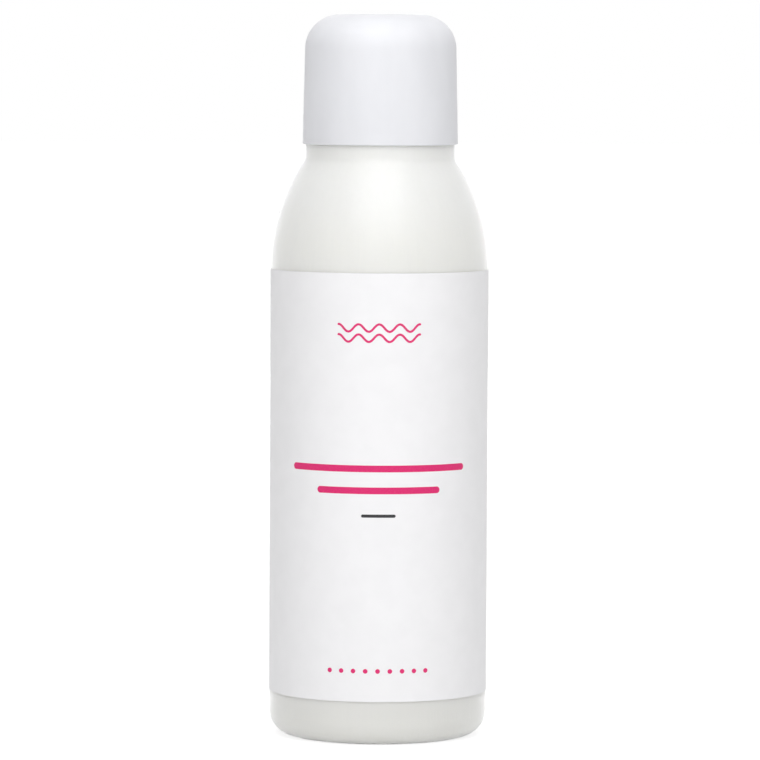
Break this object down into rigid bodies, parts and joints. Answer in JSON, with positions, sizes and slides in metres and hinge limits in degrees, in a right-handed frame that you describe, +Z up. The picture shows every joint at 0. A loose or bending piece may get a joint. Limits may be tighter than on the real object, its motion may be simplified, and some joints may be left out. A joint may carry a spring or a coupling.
{
  "type": "nail polish remover bottle",
  "caption": "Round milky plastic bottle for nail polish remover, with a bullet shoulder, a wrap label, a pour reducer in its neck and a smooth white screw cap that turns and lifts off.",
  "frame": {"origin": "centre of the ring that the bottle stands on", "axes": "+Z up along the bottle's axis, the label's front faces -Y and its seam +Y"},
  "size_m": [0.0394, 0.0393, 0.1302],
  "materials": {
    "natural_polyethylene": "milky, translucent, satin",
    "label_film": "white, semi-matt film",
    "remover": "clear liquid with a faint yellow-green tint",
    "soft_polyethylene": "soft, satin",
    "foil": "bright rolled foil",
    "liner_foam": "matt closed-cell foam",
    "white_polypropylene": "smooth, satin white"
  },
  "bodies": {
    "bottle": {"bottle_shell": "natural_polyethylene", "wrap_label": "label_film", "remover_liquid": "remover", "orifice_reducer": "soft_polyethylene"},
    "seal": {"seal_foil": "foil"},
    "liner": {"cap_liner": "liner_foam"},
    "cap": {"cap_core": "white_polypropylene", "cap_shell": "white_polypropylene"}
  },
  "joints": [
    {"name": "closure_lift_off", "type": "slide", "parent": "bottle", "child": "seal", "axis": [0, 0, 1], "range_m": [0, 0.025]},
    {"name": "cap_rise", "type": "slide", "parent": "seal", "child": "liner", "axis": [0, 0, 1], "range_m": [0, 0.0048]},
    {"name": "cap_turn", "type": "hinge", "parent": "liner", "child": "cap", "pos_m": [0, 0, 0.1185], "axis": [0, 0, 1], "range_deg": [0, 540]}
  ],
  "couplings": [
    {"joint": "cap_rise", "follows": "cap_turn", "m_per_rad": 0.00050532}
  ]
}
